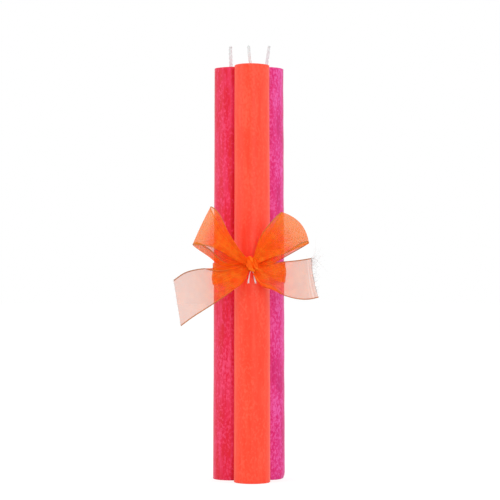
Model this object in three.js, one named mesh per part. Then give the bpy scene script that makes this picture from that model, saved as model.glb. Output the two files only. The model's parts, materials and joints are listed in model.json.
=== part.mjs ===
// Three dinner candles tied in a bundle with an organza bow.
// Millimetres, +Z up, the orange candle and the bow face -Y, the candles stand on z = 0.
import * as THREE from 'three';

// Candles
const candleHeight = 250;
const footDiameter = 21.8;
const rimDiameter = 20.9;
const footChamfer = 0.5;
const rimRadius = 0.6;
const candleGap = 0.3;
const bundleTurn = 5.5;
const drawUp = 120;

// Wicks
const wickWidth = 2.2;
const wickDepth = 1.3;
const wickClearance = 0.3;
const wickFootHeight = 1;
const waxCollarHeight = 0.5;
const waxCollarWidth = 1.6;

// Binding cord
const cordDiameter = 0.8;
const cordAboveHem = 1.8;
const cordPlay = 0.1;
const cordCrossingGap = 0.5;
const cordCrossingHeight = 128.6;
const leftEndHeight = 119.6;
const rightEndHeight = 119.6;
const cordEndSpread = 4.2;

// Ribbon
const ribbonWidth = 25;
const ribbonThickness = 0.3;
const pieceGap = 0.3;
const tieTilt = 4.2;
const bandHeight = 8;
const bandCentre = 126.2;
const bandPleatDepth = 0.1;
const knotHeight = 9.6;
const knotWrapWidth = 5.4;
const knotDepth = 5;
const knotTilt = 30;
const knotCentre = 130.5;
const knotAside = 1.3;
const loopPleatDepth = 0.9;
const tailPleatDepth = 0.8;
const tailFoldDepth = 0.9;
const tailFoldWidth = 4;
const loopDepth = 6.6;
const tailBehind = 1.6;
const tailDepth = 3.6;

const leftLoopReach = 37.1;
const leftLoopBulge = 1.3;
const rightLoopReach = 33.3;
const rightLoopBulge = 4.1;
const leftTailReach = 49.9;
const rightTailReach = 38.5;

const ribbonColour = 0xf85a20;
const cottonColour = 0xebe4e3;

const radians = THREE.MathUtils.degToRad;
const up = new THREE.Vector3(0, 0, 1);

// Where a candle's axis and skin lie at a height. The candles lean together, so they touch all the way up.
const candleRadius = (z) => THREE.MathUtils.lerp(footDiameter, rimDiameter, z / candleHeight) / 2;
const axisOffset = (z) => (2 * candleRadius(z) + candleGap) / Math.sqrt(3);
const leanPerHeight = (axisOffset(candleHeight) - axisOffset(0)) / candleHeight;

// What the tie leaves free round the candles: the taper and the lean of a candle that is drawn up.
const growth = ((footDiameter - rimDiameter) / 2 / candleHeight - leanPerHeight) * drawUp;
const tieClearance = growth + cordPlay;

const candles = [
  { name: 'crimson', side: 150, colour: 0xe8395a, wickShow: 13.2, wickFacing: 0, wickLean: [-0.8, 0] },
  { name: 'orange', side: -90, colour: 0xfa5a40, wickShow: 11.5, wickFacing: 40, wickLean: [-2, 0.4] },
  { name: 'magenta', side: 30, colour: 0xe63c82, wickShow: 13.8, wickFacing: -40, wickLean: [1.8, 0.5] },
];
const sideAngle = (candle) => radians(candle.side + bundleTurn);
const frontCandle = candles[1];

// Joins rings of equal point counts into one closed body. A ring runs round its section, and the first and
// last rings are closed across, from one side of the section to the other, unless the rings themselves close.
function skin(rings, ringsClose = false) {
  const count = rings[0].length;
  const positions = rings.flat().flatMap((point) => [point.x, point.y, point.z]);
  const faces = [];
  const quad = (a, b, c, d) => faces.push(a, b, c, a, c, d);
  const spans = ringsClose ? rings.length : rings.length - 1;
  for (let i = 0; i < spans; i++) {
    const here = i * count;
    const next = ((i + 1) % rings.length) * count;
    for (let j = 0; j < count; j++) {
      const k = (j + 1) % count;
      quad(here + j, here + k, next + k, next + j);
    }
  }
  if (!ringsClose) {
    const last = (rings.length - 1) * count;
    for (let j = 0; j < count / 2 - 1; j++) {
      const across = count - 1 - j;
      quad(j, across, across - 1, j + 1);
      quad(last + j, last + j + 1, last + across - 1, last + across);
    }
  }
  const body = new THREE.BufferGeometry();
  body.setAttribute('position', new THREE.Float32BufferAttribute(positions, 3));
  body.setIndex(faces);
  return body;
}

// A wax candle: a tapered body with a chamfered foot, a rounded rim and a low collar of wax round the wick.
function waxGeometry(candle) {
  const foot = footDiameter / 2;
  const rim = rimDiameter / 2;
  const bore = wickWidth / 2 + wickClearance;
  const profile = new THREE.Path();
  profile.moveTo(0, 0);
  profile.lineTo(foot - footChamfer, 0);
  profile.lineTo(foot, footChamfer);
  profile.lineTo(rim, candleHeight - rimRadius);
  profile.absarc(rim - rimRadius, candleHeight - rimRadius, rimRadius, 0, Math.PI / 2, false);
  profile.lineTo(bore + waxCollarWidth, candleHeight);
  profile.lineTo(bore, candleHeight + waxCollarHeight);
  profile.lineTo(bore, wickFootHeight);
  profile.lineTo(0, wickFootHeight);
  return leaning(new THREE.LatheGeometry(profile.getPoints(4), 48).rotateX(Math.PI / 2), candle);
}

// A flat braided wick: straight up through the wax, then leaning over above it.
function wickGeometry(candle) {
  const section = 12;
  const start = wickFootHeight + wickClearance;
  const show = candle.wickShow;
  const heights = [start, ...[0, 0.3, 0.65, 1].map((share) => candleHeight + share * show)];
  const facing = radians(candle.wickFacing);
  const rings = heights.map((z) => {
    const bend = Math.max(0, (z - candleHeight) / show);
    const ring = [];
    for (let i = 0; i < section; i++) {
      const turn = (2 * Math.PI * i) / section;
      const across = new THREE.Vector3(Math.cos(turn) * wickWidth, Math.sin(turn) * wickDepth, 0);
      across.multiplyScalar(0.5).applyAxisAngle(up, facing);
      ring.push(across.add(new THREE.Vector3(bend * candle.wickLean[0], bend * candle.wickLean[1], z)));
    }
    return ring;
  });
  return leaning(skin(rings), candle);
}

// Sets a candle's geometry on its own side of the bundle, leaning with it, its foot flat on the ground.
function leaning(geometry, candle) {
  const angle = sideAngle(candle);
  const lean = new THREE.Matrix4();
  lean.makeShear(0, 0, 0, 0, Math.cos(angle) * leanPerHeight, Math.sin(angle) * leanPerHeight);
  geometry.applyMatrix4(lean);
  return geometry.translate(Math.cos(angle) * axisOffset(0), Math.sin(angle) * axisOffset(0), 0);
}

// A point on the taut line round the three candles, a distance outside their skin, at a height.
// It goes round each candle in an arc and straight from one to the next. turn is 0 to 1, from the front.
function aroundCandles(turn, outside, z) {
  const radius = candleRadius(z) + outside;
  const straight = axisOffset(z) * Math.sqrt(3);
  const arc = (2 * Math.PI * radius) / 3;
  const whole = 3 * (arc + straight);
  let along = (((turn % 1) + 1) % 1) * whole + arc / 2;
  const passed = Math.floor(along / (arc + straight));
  along -= passed * (arc + straight);
  const side = sideAngle(frontCandle) + (passed * 2 * Math.PI) / 3;
  const axis = new THREE.Vector3(Math.cos(side), Math.sin(side), 0).multiplyScalar(axisOffset(z));
  const facing = side - Math.PI / 3 + Math.min(along / arc, 1) * ((2 * Math.PI) / 3);
  const outward = new THREE.Vector3(Math.cos(facing), Math.sin(facing), 0);
  const point = axis.addScaledVector(outward, radius).setZ(z);
  if (along > arc) {
    point.add(new THREE.Vector3(-outward.y, outward.x, 0).multiplyScalar(along - arc));
  }
  return point;
}

// What stacks up in front of the orange candle, from the wax out to the bow.
const cordMiddle = tieClearance + cordDiameter / 2;
const cordCrossing = cordDiameter + cordCrossingGap;
const cordHeight = bandCentre - bandHeight / 2 + cordAboveHem;
const bandInside = tieClearance + cordDiameter + pieceGap;
const bandOutside = bandInside + cordCrossing + 2 * bandPleatDepth + ribbonThickness;
const seat = aroundCandles(0, 0, knotCentre);
const knotMiddle = new THREE.Vector3(
  seat.x - knotAside, seat.y - bandOutside - pieceGap - knotDepth / 2, knotCentre);

// 1 at the front of the bundle and 0 away from it, falling off between two shares of the way round.
function nearFront(turn, inner, outer) {
  return 1 - THREE.MathUtils.smoothstep(Math.abs(turn - Math.round(turn)), inner, outer);
}

// The tie lies a little lower on the left, and rises at the front to what is crossed or knotted there.
function tieLevel(turn, level, frontLevel) {
  const sideways = aroundCandles(turn, 0, level).x;
  const tilted = level + sideways * Math.tan(radians(tieTilt));
  return THREE.MathUtils.lerp(tilted, frontLevel, nearFront(turn, 0.03, 0.16));
}

// The ribbon's band: gathered to a narrow strip with lengthwise pleats. It stands out over the cord and draws
// in to the wax at both hems, except at the front, where it rises into the knot and clears the crossed cord.
function bandGeometry() {
  const steps = 48;
  const across = 8;
  const pleats = 3;
  const hemDrawIn = bandInside - tieClearance;
  const cordLine = (cordHeight - bandCentre) / (bandHeight / 2);
  const rings = [];
  for (let i = 0; i < steps; i++) {
    const turn = i / steps;
    const front = nearFront(turn, 0.045, 0.1);
    const middle = tieLevel(turn, bandCentre, knotCentre);
    const ring = [];
    for (const [side, outward] of [[1, ribbonThickness], [-1, 0]]) {
      for (let j = 0; j <= across; j++) {
        const v = side * (1 - (2 * j) / across);
        const upper = Math.max(0, (v - cordLine) / (1 - cordLine)) ** 1.5;
        const lower = Math.max(0, (cordLine - v) / (cordLine + 1)) ** 3;
        const pleat = bandPleatDepth * (1 - Math.cos(pleats * Math.PI * v));
        const lift = front * cordCrossing - (1 - front) * (upper + lower) * hemDrawIn;
        const outside = bandInside + lift + pleat + outward;
        ring.push(aroundCandles(turn, outside, middle + (v * bandHeight) / 2));
      }
    }
    rings.push(ring);
  }
  return skin(rings, true);
}

// The binding cord's route. From the end that hangs on the left it rises, goes to the right behind the knot
// and once round the candles, then crosses in front of itself and hangs down on the right.
function cordRoute() {
  const aroundSteps = 24;
  const meet = 0.05;
  const front = (aside, endHeight, rise, layer) => new THREE.Vector3(
    knotMiddle.x + aside * cordEndSpread,
    seat.y - cordMiddle - layer * cordCrossing,
    THREE.MathUtils.lerp(endHeight, cordCrossingHeight, rise));
  const points = [
    front(-0.45, leftEndHeight, 0, 0.1),
    front(-0.35, leftEndHeight, 0.33, 0),
    front(-0.2, leftEndHeight, 0.67, 0),
    front(0.15, leftEndHeight, 0.93, 0),
    front(0.76, leftEndHeight, 1, 0),
  ];
  for (let i = 0; i <= aroundSteps; i++) {
    const turn = THREE.MathUtils.lerp(meet, 1 - meet, i / aroundSteps);
    points.push(aroundCandles(turn, cordMiddle, tieLevel(turn, cordHeight, cordCrossingHeight)));
  }
  points.push(
    front(-0.62, rightEndHeight, 1.03, 0.7),
    front(-0.07, rightEndHeight, 1, 1),
    front(0.26, rightEndHeight, 0.62, 0.9),
    front(0.38, rightEndHeight, 0.33, 0.7),
    front(0.55, rightEndHeight, 0, 0.5),
  );
  return new THREE.CatmullRomCurve3(points, false, 'centripetal');
}

function cordGeometry(route) {
  const sides = 8;
  const section = new THREE.Shape();
  for (let i = 0; i < sides; i++) {
    const turn = (2 * Math.PI * i) / sides;
    const corner = [Math.cos(turn) * cordDiameter / 2, Math.sin(turn) * cordDiameter / 2];
    if (i === 0) {
      section.moveTo(...corner);
    } else {
      section.lineTo(...corner);
    }
  }
  return new THREE.ExtrudeGeometry(section, { steps: 78, extrudePath: route, bevelEnabled: false });
}

// The least free space between two stretches of the cord, measured on points along it.
function leastGap(route) {
  const points = route.getSpacedPoints(600);
  const step = route.getLength() / 600;
  const apart = Math.ceil((4 * cordDiameter) / step);
  let least = Infinity;
  for (let i = 0; i < points.length; i++) {
    for (let j = i + apart; j < points.length; j++) {
      least = Math.min(least, points[i].distanceTo(points[j]));
    }
  }
  return least - cordDiameter;
}

// The knot: the ribbon wrapped once over the gathered middle of the bow, as a tilted barrel with creases
// that run round it.
function knotGeometry() {
  const along = 12;
  const around = 20;
  const creases = 2.5;
  const creaseDepth = 0.07;
  const shoulderDrop = 0.62;
  const rings = [];
  for (let i = 0; i <= along; i++) {
    const t = (2 * i) / along - 1;
    const crease = 1 - creaseDepth * (1 + Math.cos(2 * Math.PI * creases * t));
    const shoulder = (1 - shoulderDrop * Math.abs(t) ** 3) * crease;
    const ring = [];
    for (let j = 0; j < around; j++) {
      const turn = (2 * Math.PI * j) / around;
      const point = new THREE.Vector3(
        (t * knotWrapWidth) / 2,
        (Math.sin(turn) * shoulder * knotDepth) / 2,
        (-Math.cos(turn) * shoulder * knotHeight) / 2,
      );
      ring.push(point.applyAxisAngle(new THREE.Vector3(0, -1, 0), radians(knotTilt)).add(knotMiddle));
    }
    rings.push(ring);
  }
  return skin(rings);
}

// How far the knot reaches from its middle in a direction across the front.
function knotReach(heading) {
  const angle = heading - radians(knotTilt);
  const acrossWrap = Math.abs(Math.cos(angle)) / (knotWrapWidth / 2);
  const alongWrap = Math.abs(Math.sin(angle)) / (knotHeight / 2);
  return (acrossWrap ** 3 + alongWrap ** 3) ** (-1 / 3);
}

// The loops and tails. Each has stations from its gathered end at the knot outwards, and a loop goes on back
// to the knot behind its front layer. A station gives, in order: the share of the way from the knot to the
// tip, the share of the reach that it lies aside of the heading, the share of the piece's depth that it lies
// behind the piece's plane, the slope of the line across the ribbon in degrees, and the share of the ribbon's
// width that it spans.
const leftLoop = {
  name: 'bow_loop_left', heading: 143, reach: leftLoopReach, plane: 0, depth: loopDepth,
  gather: loopPleatDepth, tipBulge: leftLoopBulge, steps: 36, fold: null,
  stations: [
    [0, 0.02, -0.14, 76, 0.14],
    [0.21, 0.02, -0.55, 60, 0.26],
    [0.51, -0.02, -1, 63, 0.46],
    [0.78, -0.06, -0.94, 68, 0.79],
    [0.94, -0.04, -0.45, 65, 0.97],
    [1, -0.02, -0.06, 67, 1],
    [0.93, 0, 0.29, 70, 0.98],
    [0.7, 0.05, 0.45, 75, 0.86],
    [0.41, 0.11, 0.42, 75, 0.67],
    [0.18, 0.09, 0.29, 73, 0.37],
    [0, 0.03, 0.14, 76, 0.14],
  ],
};
const rightLoop = {
  name: 'bow_loop_right', heading: 40, reach: rightLoopReach, plane: 0, depth: loopDepth,
  gather: loopPleatDepth, tipBulge: rightLoopBulge, steps: 36, fold: null,
  stations: [
    [0, 0, -0.14, 110, 0.14],
    [0.25, 0.04, -0.55, 127, 0.42],
    [0.51, 0.04, -0.97, 130, 0.72],
    [0.8, 0.03, -0.88, 127, 0.91],
    [0.95, 0.01, -0.42, 130, 0.98],
    [1, 0, -0.03, 132, 0.99],
    [0.89, -0.01, 0.29, 131, 0.92],
    [0.7, -0.02, 0.44, 128, 0.78],
    [0.44, -0.03, 0.41, 127, 0.54],
    [0.22, -0.03, 0.29, 124, 0.28],
    [0, -0.01, 0.14, 110, 0.14],
  ],
};
const leftTail = {
  name: 'ribbon_tail_left', heading: 208, reach: leftTailReach, plane: tailBehind, depth: tailDepth,
  gather: tailPleatDepth, tipBulge: 0, steps: 16, fold: { from: 0.5, to: 0.95, until: 0.5 },
  stations: [
    [0, 0.01, 0, 104, 0.13],
    [0.14, 0.05, -0.06, 106, 0.4],
    [0.27, 0.04, 0.08, 103, 0.57],
    [0.46, 0.02, 0.39, 99, 0.79],
    [0.65, -0.01, 0.67, 100, 0.95],
    [0.83, -0.02, 0.89, 99, 1.07],
    [1, 0, 1, 99, 1.12],
  ],
};
const rightTail = {
  name: 'ribbon_tail_right', heading: 348, reach: rightTailReach, plane: tailBehind, depth: tailDepth,
  gather: tailPleatDepth, tipBulge: 0, steps: 16, fold: { from: -0.3, to: -0.95, until: 0.56 },
  stations: [
    [0, -0.02, 0, 76, 0.17],
    [0.17, -0.08, -0.06, 79, 0.5],
    [0.33, -0.11, 0.08, 87, 0.67],
    [0.5, -0.11, 0.33, 89, 0.81],
    [0.7, -0.09, 0.61, 92, 0.92],
    [0.87, -0.05, 0.78, 94, 0.97],
    [1, 0, 0.89, 100, 0.96],
  ],
};

// How far a tail's one larger fold stands forward. It runs from the knot towards a hem and dies out there.
function foldHeight(fold, u, v) {
  if (!fold || u > fold.until) {
    return 0;
  }
  const share = u / fold.until;
  const away = (v - THREE.MathUtils.lerp(fold.from, fold.to, share)) * ribbonWidth / tailFoldWidth;
  return tailFoldDepth * Math.exp(-away * away) * Math.sin(Math.PI * share);
}

// A loop or tail as a thin body: its middle surface, thickened to both sides. Where the ribbon is gathered
// its spare width goes into pleats that run along it.
function ribbonGeometry(piece) {
  const across = 14;
  const pleats = 4;
  const heading = radians(piece.heading);
  const start = knotReach(heading) + pieceGap;
  const places = piece.stations.map(([share, aside, behind]) => new THREE.Vector3(
    THREE.MathUtils.lerp(start, piece.reach, share), aside * piece.reach, behind * piece.depth));
  const spans = piece.stations.map(([, , , slope, share]) => new THREE.Vector3(radians(slope), share, 0));
  const route = new THREE.CatmullRomCurve3(places, false, 'catmullrom');
  const spread = new THREE.CatmullRomCurve3(spans, false, 'catmullrom');
  const outwards = new THREE.Vector3(Math.cos(heading), 0, Math.sin(heading));
  const aside = new THREE.Vector3(-Math.sin(heading), 0, Math.cos(heading));
  const surface = (u, v) => {
    const place = route.getPoint(u);
    const { x: slope, y: share } = spread.getPoint(u);
    const pleat = piece.gather * Math.max(0, 1.1 - share) * Math.cos(pleats * Math.PI * v);
    const bulge = piece.tipBulge * (place.x / piece.reach) ** 4 * (1 - v * v);
    const point = knotMiddle.clone();
    point.addScaledVector(outwards, place.x + bulge).addScaledVector(aside, place.y);
    point.y += piece.plane + place.z + pleat - foldHeight(piece.fold, u, v);
    const half = (v * share * ribbonWidth) / 2;
    return point.add(new THREE.Vector3(Math.cos(slope) * half, 0, Math.sin(slope) * half));
  };
  const nudge = 0.001;
  const rings = [];
  for (let i = 0; i <= piece.steps; i++) {
    const u = i / piece.steps;
    const ring = [];
    for (const side of [1, -1]) {
      for (let j = 0; j <= across; j++) {
        const v = side * ((2 * j) / across - 1);
        const alongRibbon = surface(Math.min(1, u + nudge), v).sub(surface(Math.max(0, u - nudge), v));
        const acrossRibbon = surface(u, v + nudge).sub(surface(u, v - nudge));
        const normal = acrossRibbon.cross(alongRibbon).normalize();
        ring.push(surface(u, v).addScaledVector(normal, (side * ribbonThickness) / 2));
      }
    }
    rings.push(ring);
  }
  return skin(rings);
}

const bundle = new THREE.Group();
function addPiece(name, geometry, colour, roughness) {
  const material = new THREE.MeshStandardMaterial({ color: colour, roughness, metalness: 0 });
  const piece = new THREE.Mesh(geometry, material);
  piece.name = name;
  bundle.add(piece);
}

for (const candle of candles) {
  addPiece(`${candle.name}_wax`, waxGeometry(candle), candle.colour, 0.5);
  addPiece(`${candle.name}_wick`, wickGeometry(candle), cottonColour, 0.9);
}
const cordLine = cordRoute();
addPiece('binding_cord', cordGeometry(cordLine), cottonColour, 0.8);
console.log(`binding cord: ${cordLine.getLength().toFixed(1)} mm long`);
console.log(`least gap between two stretches of it: ${leastGap(cordLine).toFixed(2)} mm`);
addPiece('ribbon_band', bandGeometry(), ribbonColour, 0.6);
addPiece('ribbon_knot', knotGeometry(), ribbonColour, 0.6);
for (const piece of [leftLoop, rightLoop, leftTail, rightTail]) {
  addPiece(piece.name, ribbonGeometry(piece), ribbonColour, 0.6);
}

// The part's origin is on the ground, in the middle of its outline.
const outline = new THREE.Box3().setFromObject(bundle);
const middle = outline.getCenter(new THREE.Vector3());
bundle.position.set(-middle.x, -middle.y, 0);

export default bundle;
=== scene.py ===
import json
import math

import bpy
import numpy as np
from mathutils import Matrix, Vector


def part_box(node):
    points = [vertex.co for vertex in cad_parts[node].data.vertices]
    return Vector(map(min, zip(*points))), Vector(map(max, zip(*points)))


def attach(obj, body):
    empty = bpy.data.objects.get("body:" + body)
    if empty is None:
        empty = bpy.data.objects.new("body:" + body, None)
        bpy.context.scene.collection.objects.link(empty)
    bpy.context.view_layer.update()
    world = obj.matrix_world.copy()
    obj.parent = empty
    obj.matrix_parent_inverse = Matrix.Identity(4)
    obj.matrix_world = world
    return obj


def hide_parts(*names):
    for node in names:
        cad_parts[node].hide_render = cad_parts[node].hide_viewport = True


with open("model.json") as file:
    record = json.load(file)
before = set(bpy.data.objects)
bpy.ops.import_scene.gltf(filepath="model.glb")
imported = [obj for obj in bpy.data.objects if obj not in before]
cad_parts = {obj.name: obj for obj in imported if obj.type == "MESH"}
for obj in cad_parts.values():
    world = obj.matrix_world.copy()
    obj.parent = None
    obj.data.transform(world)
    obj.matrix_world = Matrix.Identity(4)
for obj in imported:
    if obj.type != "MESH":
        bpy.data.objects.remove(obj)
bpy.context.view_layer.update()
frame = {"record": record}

random = np.random.default_rng(7)

# Sizes are in metres and angles in degrees, unless a note says otherwise.


# Colours are given as they look on a screen, 0 to 255, and turned into linear light.
def screenColour(red, green, blue):
    share = np.array([red, green, blue]) / 255
    linear = np.where(share <= 0.04045, share / 12.92, ((share + 0.055) / 1.055) ** 2.4)
    return (*linear.tolist(), 1.0)


# A shader value. Arithmetic on it adds Math nodes to its own node tree.
class Value:
    def __init__(self, shader, socket):
        self.shader, self.socket = shader, socket

    def math(self, operation, *values):
        return self.shader.node("Math", {"operation": operation}, dict(enumerate(values)))

    def __add__(self, other):
        return self.math("ADD", self, other)

    def __radd__(self, other):
        return self.math("ADD", other, self)

    def __sub__(self, other):
        return self.math("SUBTRACT", self, other)

    def __rsub__(self, other):
        return self.math("SUBTRACT", other, self)

    def __mul__(self, other):
        return self.math("MULTIPLY", self, other)

    def __rmul__(self, other):
        return self.math("MULTIPLY", other, self)

    def least(self, other):
        return self.math("MINIMUM", self, other)

    def most(self, other):
        return self.math("MAXIMUM", self, other)

    # Up and down again, from 0 to 1, once for each whole number.
    def zigzag(self):
        return self.math("PINGPONG", self, 0.5) * 2

    # Another output of the same node.
    def sibling(self, number):
        return Value(self.shader, self.socket.node.outputs[number])

    # 0 below one value, 1 above the other, and smooth between them.
    def between(self, low, high):
        return self.shader.node(
            "MapRange", {"interpolation_type": "SMOOTHSTEP"},
            {"Value": self, "From Min": low, "From Max": high})


# The node tree of a material or of the world.
class Shader:
    def __init__(self, owner):
        self.owner = owner
        owner.use_nodes = True
        self.tree = owner.node_tree
        self.tree.nodes.clear()

    # Adds one node: its settings are made first, then its sockets get values or links.
    def node(self, kind, settings=None, sockets=None, output=0):
        made = self.tree.nodes.new("ShaderNode" + kind)
        for key, value in (settings or {}).items():
            setattr(made, key, value)
        for key, value in (sockets or {}).items():
            socket = made.inputs[key] if isinstance(key, int) else next(
                s for s in made.inputs if key in (s.identifier, s.name))
            if isinstance(value, Value):
                self.tree.links.new(value.socket, socket)
            else:
                socket.default_value = value
        return Value(self, made.outputs[output]) if made.outputs else None

    def blend(self, factor, first, second):
        return self.node("Mix", {"data_type": "RGBA"},
                         {"Factor_Float": factor, "A_Color": first, "B_Color": second}, output=2)

    # Object coordinates stretched so that a pattern's grain has a size along each axis, in metres.
    def grain(self, size, place=(0, 0, 0)):
        coordinates = self.node("TexCoord", output=3)
        return self.node("Mapping", {"vector_type": "POINT"}, {
            "Vector": coordinates, "Location": place, "Scale": [1 / s for s in size]})

    def noise(self, vector, detail=2.0, roughness=0.5):
        return self.node("TexNoise", {"noise_dimensions": "3D"}, {
            "Vector": vector, "Scale": 1.0, "Detail": detail, "Roughness": roughness})

    def bump(self, height, distance, strength=1.0):
        return self.node("Bump", None, {"Height": height, "Distance": distance, "Strength": strength})

    # 1 for what the camera sees directly, in gloss or through glass, and 0 for light on other things.
    def seen(self):
        path = self.node("LightPath")
        return path.most(path.sibling(3)).most(path.sibling(6))

    def surface(self, sockets):
        shown = self.node("BsdfPrincipled", None, sockets)
        self.node("OutputMaterial", None, {"Surface": shown})
        return self.owner


# The candles' places come from the frame: each foot is a mount, and the bundle's axis is in their midst.
footPlace = {m["name"].removeprefix("foot_"): np.array(m["pos_m"]) for m in frame["record"]["mounts"]}
bundleAxis = np.mean(list(footPlace.values()), axis=0)

candleSizes = {
    "height": 0.250,
    "footDiameter": 0.0218,
    "rimDiameter": 0.0209,
    "gap": 0.0003,
    "footRounding": 0.0003,
    "rimRounding": 0.0003,
    "collarHeight": 0.0006,
    "collarSpread": 0.0009,
    "wickClearance": 0.00008,
    "wickFoot": 0.001,
    "unevenness": 0.00005,
    "waveTurns": (1, 2, 2, 3, 4, 5),
    "waveLength": (0.02, 0.12),
    "evenFoot": (0.008, 0.04),
    "rimDip": 0.00012,
    "rimDipBelow": 0.004,
    "nickFacing": -0.25,  # radians round from +X
    "nickWidth": 0.6,  # radians
    "nickHeight": 0.0032,
    "nickShape": 1.5,
    "roundSteps": 144,
    "sideSteps": 150,
    "edgeSteps": 8,
    "topSteps": 24,
    "topSpacing": 0.7,
    "footRings": (0.35, 0.7),
}

candleKinds = {
    "crimson": {
        "wax": screenColour(226, 18, 67), "frost": screenColour(246, 86, 134),
        "shade": screenColour(220, 14, 44), "mottle": 1.0, "seed": 3.1,
        "wickShow": 0.0132, "wickFacing": 0, "wickLean": (-0.0008, 0), "wickCurve": 0.22,
        "nick": 0,
    },
    "orange": {
        "wax": screenColour(255, 69, 40), "frost": screenColour(255, 112, 84),
        "shade": screenColour(252, 62, 34), "mottle": 0.6, "seed": 11.7,
        "wickShow": 0.0115, "wickFacing": 40, "wickLean": (-0.0020, 0.0004), "wickCurve": 0.4,
        "nick": 0,
    },
    "magenta": {
        "wax": screenColour(219, 23, 118), "frost": screenColour(240, 110, 190),
        "shade": screenColour(206, 22, 110), "mottle": 1.0, "seed": 23.9,
        "wickShow": 0.0138, "wickFacing": -40, "wickLean": (0.0018, 0.0005), "wickCurve": 1.2,
        "nick": 0.0012,
    },
}

wickSizes = {
    "width": 0.0022,
    "depth": 0.0013,
    "footGap": 0.0003,
    "braidPitch": 0.0026,
    "braidDepth": 0.16,
    "braidFrom": 0.003,
    "braidFull": 0.0005,
    "plainBelow": 0.004,
    "cutShare": 0.86,
    "cutSlant": 0.0002,
    "roundSteps": 48,
    "plainSteps": 6,
    "showSteps": 90,
    "fibres": 22,
    "fibreWithin": (0.3, 0.95),
    "fibreLength": 0.0008,
    "shortestFibre": 0.4,  # as a share of the longest
    "fibreDiameter": 0.00011,
    "fibreSpread": 200,
    "fibreTangle": 0.15,
    "fibreCurl": 0.4,
    "fibreRoot": 0.0002,
}


# A straight taper from the foot to the rim.
def candleRadius(z):
    share = z / candleSizes["height"]
    return (candleSizes["footDiameter"] * (1 - share) + candleSizes["rimDiameter"] * share) / 2


# The candles lean together and keep one gap all the way up: their axes are two radii and the gap apart.
def axisOffset(z):
    return (2 * candleRadius(z) + candleSizes["gap"]) / math.sqrt(3)


# Where a candle's axis passes at a height.
def axisPoint(name, z):
    outward = (footPlace[name] - bundleAxis) / np.linalg.norm(footPlace[name] - bundleAxis)
    offset = axisOffset(np.asarray(z, float))[..., None]
    place = bundleAxis + outward * offset
    place[..., 2] = z
    return place


# 0 below low, 1 above high, and a smooth cubic between them.
def smoothStep(value, low, high):
    share = np.clip((value - low) / (high - low), 0, 1)
    return share * share * (3 - 2 * share)


# Slow waves over a candle's side: a sum of sines of whole turns round it and random lengths up it.
def unevenness(turn, z, seed):
    waves = np.random.default_rng(seed)
    total = 0
    for turns in candleSizes["waveTurns"]:
        length = waves.uniform(*candleSizes["waveLength"])
        phase, twist = waves.uniform(0, 6.28, 2)
        total = total + np.sin(turns * turn + twist) * np.sin(2 * np.pi * z / length + phase) / turns
    return total * candleSizes["unevenness"] * smoothStep(z, *candleSizes["evenFoot"])


# One closed skin over rings of points: quads between rings, and at the ends a fan to a pole, a ladder
# across a flat section, or nothing where the rings themselves close.
def skinPart(rings, ends="poles", uv=None, attributes=None):
    rows, columns = rings.shape[:2]
    index = np.arange(rows * columns).reshape(rows, columns)
    points = rings.reshape(-1, 3)
    spread = {key: np.broadcast_to(value, (rows, columns)).ravel()
              for key, value in (attributes or {}).items()}
    flat = np.zeros((rows * columns, 2)) if uv is None else uv.reshape(-1, 2)
    if ends == "loop":
        index = np.vstack([index, index[:1]])
    after = np.roll(index, -1, axis=1)
    faces = np.stack([index[:-1], after[:-1], after[1:], index[1:]], axis=-1).reshape(-1, 4).tolist()
    if ends == "poles":
        first = np.full(columns, len(points))
        faces += np.stack([after[0], index[0], first], axis=-1).tolist()
        faces += np.stack([index[-1], after[-1], first + 1], axis=-1).tolist()
        points = np.vstack([points, rings[0].mean(0), rings[-1].mean(0)])
        flat = np.vstack([flat, flat[:1], flat[-1:]])
        spread = {key: np.append(value, [value[0], value[-1]]) for key, value in spread.items()}
    if ends == "ladder":
        left, right = index[:, :columns // 2], index[:, columns // 2:][:, ::-1]
        for row, flip in ((0, 1), (-1, -1)):
            corners = [left[row, :-1], right[row, :-1], right[row, 1:], left[row, 1:]]
            faces += np.stack(corners[::flip], axis=-1).tolist()
    return {"points": points, "faces": faces, "uv": flat, "attributes": spread}


# One object from parts that share their attributes, smooth shaded, with its own UV map.
def makePiece(name, parts, material, body, nodes=()):
    points, faces, start = [], [], 0
    for part in parts:
        points.append(part["points"])
        faces += [[corner + start for corner in face] for face in part["faces"]]
        start += len(part["points"])
    mesh = bpy.data.meshes.new(name)
    mesh.from_pydata(np.vstack(points).tolist(), [], faces)
    corners = np.zeros(len(mesh.loops), int)
    mesh.loops.foreach_get("vertex_index", corners)
    layer = mesh.uv_layers.new(name="Cloth")
    layer.data.foreach_set("uv", np.vstack([part["uv"] for part in parts])[corners].ravel())
    for key in parts[0]["attributes"]:
        values = np.concatenate([part["attributes"][key] for part in parts])
        mesh.attributes.new(key, "FLOAT", "POINT").data.foreach_set("value", values)
    mesh.polygons.foreach_set("use_smooth", np.ones(len(mesh.polygons), bool))
    mesh.materials.append(material)
    mesh.validate()
    piece = bpy.data.objects.new(name, mesh)
    bpy.context.collection.objects.link(piece)
    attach(piece, body)
    if nodes:
        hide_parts(*nodes)
    return piece


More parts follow.
